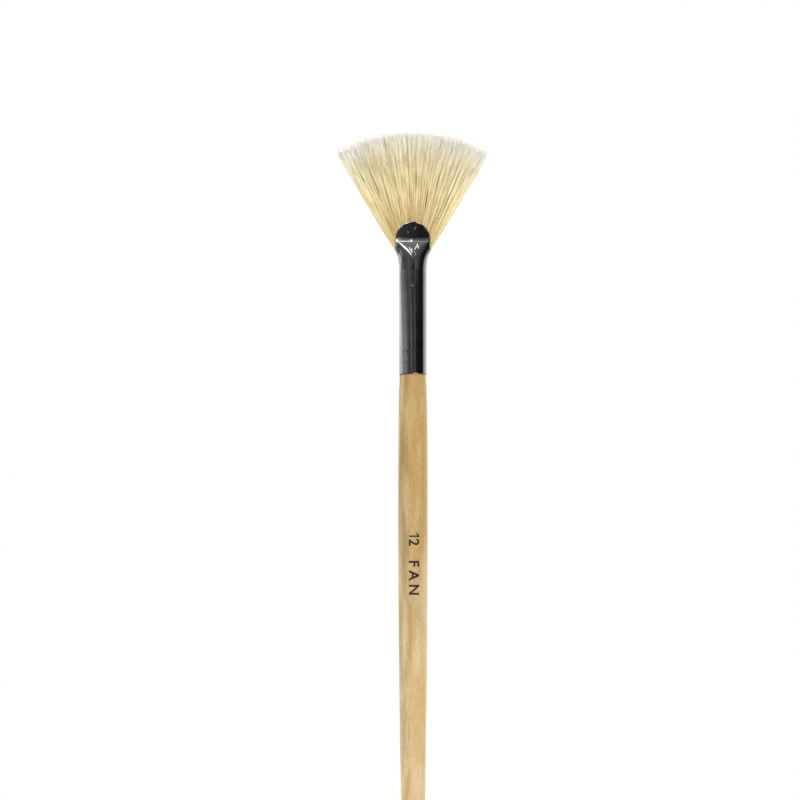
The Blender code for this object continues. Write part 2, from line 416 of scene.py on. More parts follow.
def ferrule_section(height):
    """Half width, half depth and straight half length of the ferrule's outside at each height."""
    flare = ramp(height, FLARE_START_Z, EAR_Z) ** FLARE_POWER
    half_width = TUBE_RADIUS + (EAR_HALF_WIDTH - TUBE_RADIUS) * flare - crimp(height)
    press = ramp(height, PRESS_START_Z, CREASE_Z) ** PRESS_POWER
    half_depth = TUBE_RADIUS + (CREASE_HALF_DEPTH - TUBE_RADIUS) * press - crimp(height)
    half_depth = half_depth - FILLET_DROP * fillet(height)
    tongue = ramp(height, CREASE_Z, TONGUE_TOP_Z)
    half_depth = half_depth - (CREASE_HALF_DEPTH - FILLET_DROP - TONGUE_TOP_HALF_DEPTH) * tongue
    facet = ramp(height, FACET_START_Z, CREASE_Z) ** 2
    return half_width, half_depth, CREASE_HALF_WIDTH * facet


def section_point(half_width, half_depth, straight, share):
    """Points at a share of the way round a level oval with two straight sides."""
    end_width = half_width - straight
    end_length = 0.5 * math.pi * np.sqrt(0.5 * (end_width**2 + half_depth**2))
    quarter = straight + end_length
    turn = (share % 1.0) * 4.0
    side = np.floor(turn).astype(int)
    along = (turn - side) * quarter
    along = np.where(side % 2 == 1, quarter - along, along)
    angle = np.minimum(0.5 * math.pi * along / end_length, 0.5 * math.pi)
    on_end = along <= end_length
    x = np.where(on_end, straight + end_width * np.cos(angle), quarter - along)
    y = np.where(on_end, half_depth * np.sin(angle), half_depth)
    return np.where((side == 0) | (side == 3), x, -x), np.where(side < 2, y, -y)


def mouth_height(x):
    """Height of the ferrule's cut edge at a distance from its middle."""
    reach = np.abs(x)
    shoulder = TONGUE_TOP_Z - TONGUE_RADIUS
    dome = shoulder + np.sqrt(np.maximum(TONGUE_RADIUS**2 - reach**2, 0.0))
    side = shoulder + (EAR_Z - shoulder) * ramp(reach, TONGUE_RADIUS, TONGUE_RADIUS + TONGUE_SIDE_RUN)
    return np.where(reach < TONGUE_RADIUS, dome, side)


def column_top(share, inset):
    """Where the columns of wall at these shares of the section end."""
    top = np.full_like(share, EAR_Z)
    for _ in range(30):
        half_width, half_depth, straight = ferrule_section(top)
        x, _ = section_point(half_width - inset, half_depth - inset, straight, share)
        top = 0.5 * (top + mouth_height(x * EAR_HALF_WIDTH / (EAR_HALF_WIDTH - inset)))
    return top


# ---------------------------------------------------------------- materials

class Nodes:
    """Short way to build one material's node tree."""

    def __init__(self, name):
        self.material = bpy.data.materials.new(name)
        self.material.use_nodes = True
        self.tree = self.material.node_tree
        self.shader = self.tree.nodes["Principled BSDF"]

    def add(self, kind, **settings):
        """A node of this kind; settings are its own properties."""
        node = self.tree.nodes.new(kind)
        for key, value in settings.items():
            setattr(node, key, value)
        return node

    def link(self, source, target):
        """Join an output socket to an input socket."""
        self.tree.links.new(source, target)

    def set(self, node, **values):
        """Set inputs by name, with _ for a space."""
        for key, value in values.items():
            node.inputs[key.replace("_", " ")].default_value = value
        return node

    def ramp(self, source, stops):
        """A colour ramp from (position, colour) stops, fed by a value."""
        node = self.add("ShaderNodeValToRGB")
        elements = node.color_ramp.elements
        for element, (position, colour) in zip(elements, (stops[0], stops[-1])):
            element.position = position
            element.color = (*colour, 1.0)
        for position, colour in stops[1:-1]:
            elements.new(position).color = (*colour, 1.0)
        self.link(source, node.inputs["Fac"])
        return node.outputs["Color"]

    def mix(self, share, low, high, mode="MIX"):
        """Mix two colours; each is a socket or a colour."""
        node = self.add("ShaderNodeMix", data_type="RGBA", blend_type=mode)
        for socket, value in ((node.inputs[0], share), (node.inputs[6], low), (node.inputs[7], high)):
            if isinstance(value, bpy.types.NodeSocket):
                self.link(value, socket)
            elif isinstance(value, float):
                socket.default_value = value
            else:
                socket.default_value = (*value, 1.0)
        return node.outputs[2]

    def noise(self, coordinates, scale, detail=4.0, roughness=0.5, stretch=(1.0, 1.0, 1.0)):
        """A noise value over the object's own coordinates, stretched along its axes."""
        mapping = self.add("ShaderNodeMapping")
        mapping.inputs["Scale"].default_value = stretch
        self.link(coordinates, mapping.inputs["Vector"])
        node = self.add("ShaderNodeTexNoise")
        self.set(node, Scale=scale, Detail=detail, Roughness=roughness)
        self.link(mapping.outputs["Vector"], node.inputs["Vector"])
        return node.outputs["Fac"]

    def bump(self, source, strength, distance):
        """A bump on the shader from a height value; distance is in metres."""
        node = self.add("ShaderNodeBump")
        self.set(node, Strength=strength, Distance=distance)
        self.link(source, node.inputs["Height"])
        self.link(node.outputs["Normal"], self.shader.inputs["Normal"])


# Painted shade on the wood, darker and greyer on its left side than on its right, and tints up the handle
# from z in metres
SIDE_SHADE_SCALE = 60.0
WOOD_SIDE_SHADE = (
    (0.22, (0.76, 0.78, 0.84)),
    (0.34, (0.87, 0.89, 0.94)),
    (0.44, (1.04, 1.04, 1.06)),
    (0.60, (0.98, 0.97, 0.96)),
)
WOOD_ALONG = (
    (0.132, (1.09, 1.16, 1.36)),
    (0.150, (0.95, 0.98, 1.10)),
    (0.185, (0.86, 0.84, 0.80)),
    (0.205, (0.88, 0.85, 0.80)),
)

# Colours of the darkest and the palest bristles from root to tip, and of a dark hair. The darkest colour the
# inner bristles as painted shade of the fan's depth, and the dark hair's colour also paints the shade on the
# streaks
BRISTLE_GOLD = (
    (0.30, (0.47, 0.32, 0.105)),
    (0.65, (0.62, 0.45, 0.165)),
    (0.86, (0.68, 0.53, 0.26)),
    (0.97, (0.86, 0.80, 0.62)),
)
BRISTLE_CREAM = (
    (0.30, (0.70, 0.58, 0.29)),
    (0.62, (0.89, 0.79, 0.49)),
    (0.86, (0.88, 0.82, 0.60)),
    (0.95, (0.91, 0.875, 0.755)),
    (1.0, (0.92, 0.905, 0.86)),
)
BRISTLE_DARK = (0.16, 0.075, 0.018)


def wood_material():
    """Clear-lacquered pale wood: mottled, with fine pores and fibres along the handle, and painted shade on
    its left side.
    """
    n = Nodes("lacquered_wood")
    place = n.add("ShaderNodeTexCoord").outputs["Object"]
    axes = n.add("ShaderNodeSeparateXYZ")
    n.link(place, axes.inputs["Vector"])
    broad = n.noise(place, 230.0, 3.0, 0.55, (1.0, 1.0, 0.16))
    mottle = n.noise(place, 1500.0, 4.0, 0.75, (1.0, 1.0, 0.5))
    fibre = n.noise(place, 3000.0, 4.0, 0.6, (1.0, 1.0, 0.05))
    grain = n.noise(place, 4200.0, 2.0, 0.6, (1.0, 1.0, 0.6))
    cream, straw, orange = (0.58, 0.43, 0.205), (0.50, 0.345, 0.138), (0.52, 0.315, 0.102)
    base = n.ramp(broad, ((0.36, orange), (0.48, straw), (0.62, cream)))
    cloud = n.ramp(mottle, ((0.32, (0.86, 0.81, 0.72)), (0.50, (1.0, 1.0, 1.0)), (0.68, (1.12, 1.14, 1.20))))
    colour = n.mix(0.75, base, cloud, "MULTIPLY")
    streak = n.ramp(fibre, ((0.32, (0.90, 0.86, 0.80)), (0.60, (1.0, 1.0, 1.0))))
    colour = n.mix(0.45, colour, streak, "MULTIPLY")
    pore, fleck, clear = (0.80, 0.72, 0.60), (1.20, 1.24, 1.34), (1.0, 1.0, 1.0)
    speck = n.ramp(grain, ((0.30, pore), (0.42, clear), (0.62, clear), (0.72, fleck)))
    colour = n.mix(0.6, colour, speck, "MULTIPLY")
    # painted shade: the wood turns darker and greyer towards its left side (-X), broken up by the broad
    # mottle
    across = n.add("ShaderNodeMath", operation="MULTIPLY_ADD")
    n.link(axes.outputs["X"], across.inputs[0])
    across.inputs[1].default_value = SIDE_SHADE_SCALE
    n.link(broad, across.inputs[2])
    colour = n.mix(1.0, colour, n.ramp(across.outputs[0], WOOD_SIDE_SHADE), "MULTIPLY")
    colour = n.mix(1.0, colour, n.ramp(axes.outputs["Z"], WOOD_ALONG), "MULTIPLY")
    n.link(colour, n.shader.inputs["Base Color"])
    gloss = n.ramp(mottle, ((0.3, (0.50, 0.50, 0.50)), (0.7, (0.36, 0.36, 0.36))))
    n.link(gloss, n.shader.inputs["Roughness"])
    n.set(n.shader, IOR=1.5, Specular_IOR_Level=0.22)
    n.bump(fibre, 0.25, 0.00003)
    return n.material


def metal_material():
    """Glossy black plating with faint draw lines, smudges and fine scratches, and painted highlights, partly
    real worn plating, that turn it pale and matt where the ferrule marks them.
    """
    n = Nodes("black_plated_metal")
    place = n.add("ShaderNodeTexCoord").outputs["Object"]
    smudge = n.noise(place, 240.0, 4.0, 0.6, (1.0, 1.0, 0.6))
    draw = n.noise(place, 3000.0, 3.0, 0.5, (1.0, 1.0, 0.02))
    tint = n.ramp(smudge, ((0.3, (0.085, 0.085, 0.09)), (0.7, (0.12, 0.118, 0.118))))
    # painted highlights, partly real worn plating: the marked points mix pale grey into the black and lose
    # the metal's mirror finish
    glint_and_wear = n.add("ShaderNodeAttribute", attribute_name="glint_and_wear").outputs["Fac"]
    n.link(n.mix(glint_and_wear, tint, (0.80, 0.80, 0.82)), n.shader.inputs["Base Color"])
    gloss = n.ramp(smudge, ((0.35, (0.045, 0.045, 0.045)), (0.75, (0.11, 0.11, 0.11))))
    n.link(gloss, n.shader.inputs["Roughness"])
    n.link(n.ramp(glint_and_wear, ((0.0, (1.0, 1.0, 1.0)), (1.0, (0.2, 0.2, 0.2)))), n.shader.inputs["Metallic"])
    n.bump(draw, 0.05, 0.00001)
    return n.material


def bristle_material():
    """Hog bristle: golden to cream by its paleness, in fine wisps, and paling to the tip."""
    n = Nodes("bristle")
    strand = n.add("ShaderNodeAttribute", attribute_name="strand")
    parts = n.add("ShaderNodeSeparateColor")
    n.link(strand.outputs["Color"], parts.inputs["Color"])
    pale, height, dark = parts.outputs[:3]
    place = n.add("ShaderNodeCombineXYZ")
    n.link(strand.outputs["Alpha"], place.inputs["X"])
    n.link(height, place.inputs["Y"])
    wisp = n.noise(place.outputs["Vector"], WISP_SCALE, 2.0, 0.5, (1.0, WISP_STRETCH, 1.0))
    centred = n.add("ShaderNodeMath", operation="MULTIPLY_ADD")
    n.link(wisp, centred.inputs[0])
    centred.inputs[1].default_value = WISP_CONTRAST
    centred.inputs[2].default_value = -0.5 * WISP_CONTRAST
    shared = n.add("ShaderNodeMath", operation="ADD", use_clamp=True)
    n.link(pale, shared.inputs[0])
    n.link(centred.outputs[0], shared.inputs[1])
    pale = shared.outputs[0]
    gold = n.ramp(height, BRISTLE_GOLD)
    cream = n.ramp(height, BRISTLE_CREAM)
    colour = n.mix(pale, gold, cream)
    colour = n.mix(dark, colour, BRISTLE_DARK)
    n.link(colour, n.shader.inputs["Base Color"])
    n.set(n.shader, Roughness=0.45, IOR=1.5, Specular_IOR_Level=0.2)
    return n.material


def plain_material(name, low, high, roughness, scale):
    """A mottled material for the fillings inside the ferrule."""
    n = Nodes(name)
    place = n.add("ShaderNodeTexCoord").outputs["Object"]
    cloud = n.noise(place, scale, 4.0, 0.6)
    n.link(n.ramp(cloud, ((0.3, low), (0.7, high))), n.shader.inputs["Base Color"])
    n.set(n.shader, Roughness=roughness)
    n.bump(cloud, 0.3, 0.0001)
    return n.material


def ink_material():
    """Black printing ink, slightly broken up over the grain."""
    n = Nodes("printing_ink")
    place = n.add("ShaderNodeTexCoord").outputs["Object"]
    glint_and_wear = n.noise(place, 4000.0, 3.0, 0.6, (1.0, 1.0, 0.2))
    colour = n.ramp(glint_and_wear, ((0.35, (0.010, 0.008, 0.007)), (0.8, (0.022, 0.016, 0.012))))
    n.link(colour, n.shader.inputs["Base Color"])
    n.set(n.shader, Roughness=0.5, Specular_IOR_Level=0.3)
    return n.material


# ---------------------------------------------------------------- pieces

def make_handle(material):
    """Turned handle: rounded butt, long swelling body, and the tenon inside the ferrule."""
    angle = np.linspace(0.0, 0.5 * math.pi, 14)
    butt_z = BUTT_HEIGHT * (1.0 - np.cos(angle))
    butt_r = BUTT_FLAT_RADIUS + (BUTT_RADIUS - BUTT_FLAT_RADIUS) * np.sin(angle)
    body_z = np.linspace(BUTT_HEIGHT, SHOULDER_Z - SHOULDER_ROUNDING, 280)[1:]
    body_r = smooth_outline(HANDLE_OUTLINE, body_z)
    edge_z = np.array([SHOULDER_Z - 0.1, SHOULDER_Z, SHOULDER_Z])
    edge_r = np.array([body_r[-1] - 0.03, body_r[-1] - 0.15, TENON_RADIUS])
    tenon_z = np.append(np.linspace(SHOULDER_Z + 0.3, TENON_TOP_Z - TENON_CHAMFER, 60), TENON_TOP_Z)
    tenon_r = TENON_RADIUS - crimp(tenon_z)
    tenon_r[-1] -= TENON_CHAMFER
    z = np.concatenate([[0.0], butt_z, body_z, edge_z, tenon_z, [TENON_TOP_Z]])
    r = np.concatenate([[CAP_RADIUS], butt_r, body_r, edge_r, tenon_r, [CAP_RADIUS]])
    points, faces = rings(r, z, HANDLE_COLUMNS), ring_faces(len(z), HANDLE_COLUMNS)
    body = make_mesh("handle_turned", points, faces, material)
    close_ends(body)
    body.data.set_sharp_from_angle(angle=HARD_EDGE)
    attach(body, "brush")
    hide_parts("handle")


def marks(lines, x, height):
    """How strong a list of soft-edged lines is at each point of the ferrule's front."""
    total = np.zeros_like(x)
    for x0, z0, x1, z1, width, strength in lines:
        run, rise = x1 - x0, z1 - z0
        along = np.clip(((x - x0) * run + (height - z0) * rise) / (run**2 + rise**2), 0.0, 1.0)
        away = np.hypot(x - x0 - along * run, height - z0 - along * rise)
        total += strength * np.exp(-((away / width) ** 2))
    return total


def make_ferrule(material):
    """The tube's skin: outside, rounded cut edge, inside and rounded foot in one closed loop."""
    share = np.arange(FERRULE_COLUMNS) / FERRULE_COLUMNS
    levels = np.concatenate(
        [
            np.arange(FOOT_Z, CRIMPS_TOP_Z, FINE_STEP),
            np.arange(CRIMPS_TOP_Z, PLAIN_TOP_Z, PLAIN_STEP),
            np.arange(PLAIN_TOP_Z, PRESS_START_Z, FLARE_STEP),
            np.arange(PRESS_START_Z, EAR_Z - MOUTH_MARGIN, FINE_STEP),
        ]
    )

    def wall(inset, heights):
        """One ring of the wall at heights given for each column."""
        half_width, half_depth, straight = ferrule_section(heights)
        x, y = section_point(half_width - inset, half_depth - inset, straight, share)
        crown = TONGUE_CROWN * fillet(heights)
        y = y + np.sign(y) * crown * np.maximum(1.0 - (x / TONGUE_RADIUS) ** 2, 0.0)
        y = y + np.where(y < 0.0, marks(DENTS, x, heights), 0.0)
        return np.stack([x, y, heights], axis=-1)

    def side(inset, heights, mouth_steps):
        """Rings from the foot to the cut edge at one depth of the wall."""
        loops = [wall(inset, np.full(FERRULE_COLUMNS, height)) for height in heights]
        top = column_top(share, inset)
        for step in np.linspace(0.0, 1.0, mouth_steps + 1)[1:]:
            loops.append(wall(inset, heights[-1] + (top - heights[-1]) * step))
        return loops

    outside = side(0.0, levels, OUTSIDE_MOUTH_STEPS)
    inside_levels = np.append(np.arange(FOOT_Z, levels[-1] - 1.0, INSIDE_STEP), levels[-1])
    inside = side(WALL, inside_levels, INSIDE_MOUTH_STEPS)
    rim = []
    for turn in np.linspace(0.0, math.pi, 6)[1:-1]:
        inset = 0.5 * WALL * (1.0 - math.cos(turn))
        top = column_top(share, inset)
        ring = wall(inset, top)
        ring[:, 2] += RIM_BULGE * WALL * math.sin(turn)
        rim.append(ring)
    foot = []
    for turn in np.linspace(0.0, math.pi, 5)[1:-1]:
        inset = 0.5 * WALL * (1.0 + math.cos(turn))
        ring = wall(inset, np.full(FERRULE_COLUMNS, FOOT_Z))
        ring[:, 2] -= FOOT_BULGE * WALL * math.sin(turn)
        foot.append(ring)
    rows = outside + rim + inside[::-1] + foot
    points = np.concatenate(rows)
    faces = ring_faces(len(rows), FERRULE_COLUMNS, closed_loop=True)
    body = make_mesh("ferrule_shell", points, faces, material)
    front = points[:, 1] < 0.0
    # painted highlights, partly real worn plating at the nicks, on the front of the ferrule
    glint_and_wear = np.clip(np.where(front, marks(GLINTS_AND_WEAR, points[:, 0], points[:, 2]), 0.0), 0.0, 1.0)
    attribute = body.data.attributes.new("glint_and_wear", "FLOAT", "POINT")
    attribute.data.foreach_set("value", glint_and_wear.astype(np.float32))
    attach(body, "brush")
    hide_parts("ferrule")


def depth_limit(height):
    """Half depth of the bundle of bristles at each height, from the resin to the tips."""
    z, depth = np.array(BUNDLE_DEPTHS).T
    return np.interp(height, z, depth)


def fan_reach(height):
    """Half width of the bundle of bristles at each height."""
    half_width, _, _ = ferrule_section(np.minimum(height, EAR_Z))
    inside = half_width - WALL - WALL_GAP
    splayed = (height - FAN_APEX_Z) * math.tan(FAN_HALF_ANGLE)
    share = ease(height, SPLAY_START_Z, SPLAY_END_Z)
    return inside * (1.0 - share) + splayed * share


def tubes(paths, radii, sides):
    """Points and faces of tapered tubes along paths of shape (strands, steps, 3)."""
    strands, steps, _ = paths.shape
    along = np.gradient(paths, axis=1)
    along /= np.linalg.norm(along, axis=2, keepdims=True)
    across = np.cross(along, np.array([0.0, 1.0, 0.0]))
    across /= np.linalg.norm(across, axis=2, keepdims=True)
    upward = np.cross(across, along)
    turn = np.arange(sides) * math.tau / sides
    ring = (
        np.cos(turn)[None, None, :, None] * across[:, :, None, :]
        + np.sin(turn)[None, None, :, None] * upward[:, :, None, :]
    )
    points = paths[:, :, None, :] + radii[:, :, None, None] * ring
    offsets = (np.arange(strands) * steps * sides)[:, None, None]
    walls = (ring_faces(steps, sides)[None] + offsets).reshape(-1, 4)
    return points.reshape(-1, 3), walls


def strand_mesh(name, paths, radii, pale, dark, sides, material):
    """One mesh of many closed strands, each with its colouring and its own cell of the UV map.

    The colour attribute holds paleness, distance from root to tip, darkness, and in its alpha the
    place across the fan.
    """
    strands, steps, _ = paths.shape
    points, faces = tubes(paths, radii, sides)
    body = make_mesh(name, points, faces, material)
    colour = np.ones((strands, steps, sides, 4))
    colour[..., 0] = pale[:, None, None]
    reach = np.hypot(paths[..., 0], paths[..., 2] - FAN_APEX_Z)
    colour[..., 1] = ramp(reach, ROOT_Z - FAN_APEX_Z, BRUSH_TOP - FAN_APEX_Z)[..., None]
    colour[..., 2] = np.broadcast_to(dark.reshape(strands, -1), (strands, steps))[..., None]
    middle = paths[:, steps // 2]
    slope = middle[:, 0] / (middle[:, 2] - FAN_APEX_Z)
    colour[..., 3] = 0.5 + 0.5 * slope[:, None, None] / math.tan(FAN_HALF_ANGLE)
    attribute = body.data.color_attributes.new("strand", "FLOAT_COLOR", "POINT")
    attribute.data.foreach_set("color", colour.astype(np.float32).ravel())
    close_ends(body)
    cells = np.empty((len(body.data.vertices), 2))
    strand, place = np.divmod(np.arange(len(cells)), steps * sides)
    step, side = np.divmod(place, sides)
    rows = math.ceil(strands / UV_COLUMNS)
    width = 0.25 + 0.5 * np.minimum(side, sides - side) / (sides // 2)
    cells[:, 0] = (strand % UV_COLUMNS + width) / UV_COLUMNS
    cells[:, 1] = (strand // UV_COLUMNS + 0.06 + 0.88 * step / (steps - 1)) / rows
    loops = np.empty(len(body.data.loops), dtype=np.int32)
    body.data.loops.foreach_get("vertex_index", loops)
    layer = body.data.uv_layers.new(name="OFBake")
    layer.data.foreach_set("uv", cells[loops].astype(np.float32).ravel())
    return body


def bristle_paths(across, layer, length, pull, steps, start=0.0, sway=SWAY):
    """Paths of shape (count, steps, 3) for bristles that radiate through the fan.

    across and layer run from -1 to 1 over the fan's width and depth, length is from the fan's
    apex to the tip, pull moves the middle of each bristle sideways, as a share of the width, and
    sway is how far bristles wander to the front and back.
    """
    angle = np.arctan(across * math.tan(FAN_HALF_ANGLE))
    tip_z = FAN_APEX_Z + length * np.cos(angle)
    share = start + (1.0 - start) * np.linspace(0.0, 1.0, steps)[None, :]
    z = np.interp(share, LEVEL_SHARES, LEVEL_HEIGHTS)
    z = z + (tip_z[:, None] - LEVEL_HEIGHTS[-1]) * ramp(share, LEVEL_SHARES[-1], 1.0)
    free = ramp(z, TONGUE_TOP_Z - STRAY_RUN, BRUSH_TOP)
    sag = np.sin(math.pi * free**0.75)
    x = (across[:, None] + pull[:, None] * sag) * fan_reach(z)
    flat = np.sqrt(1.0 - 0.85 * np.abs(across) ** 5)[:, None]
    oval = np.sqrt(1.0 - 0.97 * across**2)[:, None]
    y = layer[:, None] * (oval + (flat - oval) * ease(z, 263.5, 268.0)) * depth_limit(z)
    count = (len(across), 1)
    wave = math.tau * (rng.uniform(*WAVES, count) * free + rng.uniform(0.0, 1.0, count))
    x = x + (rng.normal(0.0, STRAY, count) * free + rng.normal(0.0, WAVE, count) * np.sin(wave)) * free
    wave = math.tau * (rng.uniform(*SWAYS, count) * free + rng.uniform(0.0, 1.0, count))
    y = y + rng.normal(0.0, sway, count) * np.sin(wave) * ease(z, TONGUE_TOP_Z, TONGUE_TOP_Z + STRAY_RUN)
    return np.stack([x, y, z], axis=-1)


def tip_lengths(count, least, shape, scale):
    """Lengths from the fan's apex to the tips, most of them near the full radius."""
    return FAN_RADIUS - least - rng.gamma(shape, scale, count)


def body_bristles(count):
    """The inner bristles that fill the depth of the fan, coloured gold as painted shade of its depth, less so
    towards its edges.
    """
    across = np.clip(np.linspace(-1.0, 1.0, count) + rng.normal(0.0, 1.5 / count, count), -1.0, 1.0)
    rng.shuffle(across)
    layer = rng.uniform(-0.35, 0.35, count)
    pull = rng.normal(0.0, 0.006, count)
    # painted shade: inner bristles mostly gold, paler towards the fan's edges
    pale = rng.uniform(0.0, 0.4, count) + 0.4 * ramp(np.abs(across), 0.4, 0.97)
    return across, layer, tip_lengths(count, *TIP_SHORTFALL), pull, pale


def lock_bristles(face, count):
    """The pale outer bristles of one face, drawn together in locks with gaps between them."""
    width = rng.uniform(*LOCK_WIDTHS, LOCKS)
    ends = np.concatenate([[0.0], np.cumsum(width)]) / width.sum() * 2.0 - 1.0
    strength = rng.uniform(*LOCK_PULLS, LOCKS)
    tone = rng.normal(0.0, LOCK_TONE, LOCKS)
    across = rng.uniform(-1.0, 1.0, count)
    number = np.clip(np.searchsorted(ends, across) - 1, 0, LOCKS - 1)
    middle = 0.5 * (ends[number] + ends[number + 1])
    offset = across - middle
    pull = -offset * strength[number]
    crown = 1.0 - 0.6 * (2.0 * offset / (ends[number + 1] - ends[number])) ** 2
    layer = face * (0.35 + 0.6 * crown * rng.uniform(0.5, 1.0, count))
    outer = LOCK_EDGE_PALENESS * ramp(np.abs(across), 0.2, 0.7)
    pale = np.clip(rng.uniform(*LOCK_PALENESS, count) + tone[number] + outer, 0.0, 1.0)
    return across, layer, tip_lengths(count, *TIP_SHORTFALL), pull, pale


def make_bristles(material):
    """The fan: many fine tapered bristles in a few meshes, bending where they leave the ferrule."""
    groups = [(f"bristles_inner_{number}", body_bristles(BRISTLE_COUNT)) for number in (1, 2)]
    for face, side in ((-1.0, "front"), (1.0, "rear")):
        for number in (1, 2):
            groups.append((f"bristles_{side}_{number}", lock_bristles(face, BRISTLE_COUNT)))
    pieces = []
    share = np.linspace(0.0, 1.0, BRISTLE_STEPS)[None, :]
    for name, (across, layer, length, pull, pale) in groups:
        paths = bristle_paths(across, layer, length, pull, BRISTLE_STEPS)
        radii = rng.uniform(*BRISTLE_RADII, (BRISTLE_COUNT, 1)) * (1.0 - BRISTLE_TAPER * share**3)
        dark = np.zeros(BRISTLE_COUNT)
        pieces.append(strand_mesh(name, paths, radii, pale, dark, BRISTLE_SIDES, material))
    pieces += make_flags(material)
    pieces.append(make_dark_hairs(material))
    for piece in pieces:
        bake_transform(piece)
    locks = [f"bristle_lock_{number + 1}" for number in range(9)]
    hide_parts("bristle_roots", *locks)


def make_flags(material):
    """The split, feathery ends of the bristles."""
    pieces = []
    share = np.linspace(0.0, 1.0, FLAG_STEPS)[None, :]
    straight = np.zeros(FLAG_COUNT)
    for number in (1, 2):
        across = rng.uniform(-1.0, 1.0, FLAG_COUNT)
        layer = rng.uniform(-1.0, 1.0, FLAG_COUNT)
        length = tip_lengths(FLAG_COUNT, *FLAG_SHORTFALL)
        paths = bristle_paths(across, layer, length, straight, FLAG_STEPS, start=FLAG_START)
        paths[..., 0] += rng.normal(0.0, FLAG_SPREAD, (FLAG_COUNT, 1)) * share**2
        radii = FLAG_RADIUS * (1.0 - FLAG_TAPER * share) * np.ones((FLAG_COUNT, 1))
        pale = rng.uniform(0.75, 1.0, FLAG_COUNT)
        name = f"bristle_tips_{number}"
        dark = np.zeros(FLAG_COUNT)
        pieces.append(strand_mesh(name, paths, radii, pale, dark, FLAG_SIDES, material))
    return pieces


def make_dark_hairs(material):
    """The few dark hairs in the hog bristle, and the golden streaks with painted shade over part of their
    length.
    """
    angle = rng.uniform(-STREAK_ANGLE, STREAK_ANGLE, SHADE_STREAKS)
    low = rng.uniform(*STREAK_START, SHADE_STREAKS)
    high = low + rng.uniform(*STREAK_LENGTH, SHADE_STREAKS)
    face = np.where(np.arange(SHADE_STREAKS) % 2 == 0, -1.0, 1.0)
    streaks = np.stack([angle, low, high, face, rng.uniform(*STREAK_SHADE, SHADE_STREAKS)], axis=1)
    hairs = np.concatenate([np.array([(*hair, 1.0) for hair in DARK_HAIRS]), streaks])
    angle, low, high, layer, darkness = hairs.T
    across = np.tan(np.radians(angle)) / math.tan(FAN_HALF_ANGLE)
    count = len(hairs)
    length = np.full(count, FAN_RADIUS - 0.6)
    paths = bristle_paths(across, layer, length, np.zeros(count), HAIR_STEPS, sway=0.0)
    apex = np.array([0.0, 0.0, FAN_APEX_Z])
    reach = np.linalg.norm(paths - apex, axis=2)
    low, high = low[:, None], high[:, None]
    # full darkness on the dark hairs; painted shade on the streaks
    dark = ease(reach, low - 1.0, low) * (1.0 - ease(reach, high, high + 1.0)) * darkness[:, None]
    single = np.arange(count) < len(DARK_HAIRS)
    share = np.linspace(0.0, 1.0, HAIR_STEPS)[None, :]
    radii = np.where(single, HAIR_RADIUS, STREAK_RADIUS)[:, None] * (1.0 - HAIR_TAPER * share)
    pale = np.where(single, HAIR_PALENESS, STREAK_PALENESS)
    return strand_mesh("dark_hairs", paths, radii, pale, dark, BRISTLE_SIDES, material)


def make_size_mark(material):
    """Size number and the word for the brush's shape, printed down the handle as a thin film."""
    one = bpy.data.meshes.new("size_figure_one")
    outline = [(x * MARK_HEIGHT * MM, y * MARK_HEIGHT * MM, 0.0) for x, y in FIGURE_ONE]
    one.from_pydata(outline, [], [range(len(outline))])
    print_on_handle("size_figure_one", one, FIGURE_ONE_TOP_Z, material)
    texts = (
        ("size_figure_two", "2", FIGURE_TWO_TOP_Z, 1.0),
        ("shape_name", "FAN", SHAPE_NAME_TOP_Z, SHAPE_NAME_SPACING),
    )
    for name, text, top_z, spacing in texts:
        curve = bpy.data.curves.new(name, "FONT")
        curve.body = text
        curve.size = MARK_HEIGHT * MM / CAPITAL_SHARE
        curve.space_character = spacing
        curve.offset = MARK_BOLDNESS * MM
        curve.resolution_u = 6
        source = bpy.data.objects.new(name, curve)
        bpy.context.scene.collection.objects.link(source)
        bpy.context.view_layer.update()
        data = bpy.data.meshes.new_from_object(source)
        bpy.data.objects.remove(source)
        bpy.data.curves.remove(curve)
        print_on_handle(name, data, top_z, material)


def print_on_handle(name, data, top_z, material):
    """Wrap flat lettering round the handle's front, reading downward, and give it a thickness."""
    mesh = bmesh.new()
    mesh.from_mesh(data)
    start = min(vert.co.x for vert in mesh.verts)
    for level in np.arange(0.5 * MARK_CUT, MARK_HEIGHT, MARK_CUT) * MM:
        geometry = mesh.verts[:] + mesh.edges[:] + mesh.faces[:]
        bmesh.ops.bisect_plane(mesh, geom=geometry, plane_co=(0.0, level, 0.0), plane_no=(0.0, 1.0, 0.0))
    for vert in mesh.verts:
        z = top_z - (vert.co.x - start) / MM
        radius = float(smooth_outline(HANDLE_OUTLINE, np.array([z]))[0]) + MARK_LIFT
        angle = (vert.co.y / MM - 0.5 * MARK_HEIGHT + MARK_OFFSET) / radius
        vert.co = (radius * math.sin(angle) * MM, -radius * math.cos(angle) * MM, z * MM)
    mesh.normal_update()
    result = bmesh.ops.extrude_face_region(mesh, geom=mesh.faces[:])
    for item in result["geom"]:
        if isinstance(item, bmesh.types.BMVert):
            scale = 1.0 - MARK_THICKNESS * MM / math.hypot(item.co.x, item.co.y)
            item.co.x *= scale
            item.co.y *= scale
    bmesh.ops.recalc_face_normals(mesh, faces=mesh.faces)
    sort_faces(mesh)
    mesh.to_mesh(data)
    mesh.free()
    mark = bpy.data.objects.new(name, data)
    bpy.context.scene.collection.objects.link(mark)
    data.materials.clear()
    data.materials.append(material)
    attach(mark, "brush")


# ---------------------------------------------------------------- set

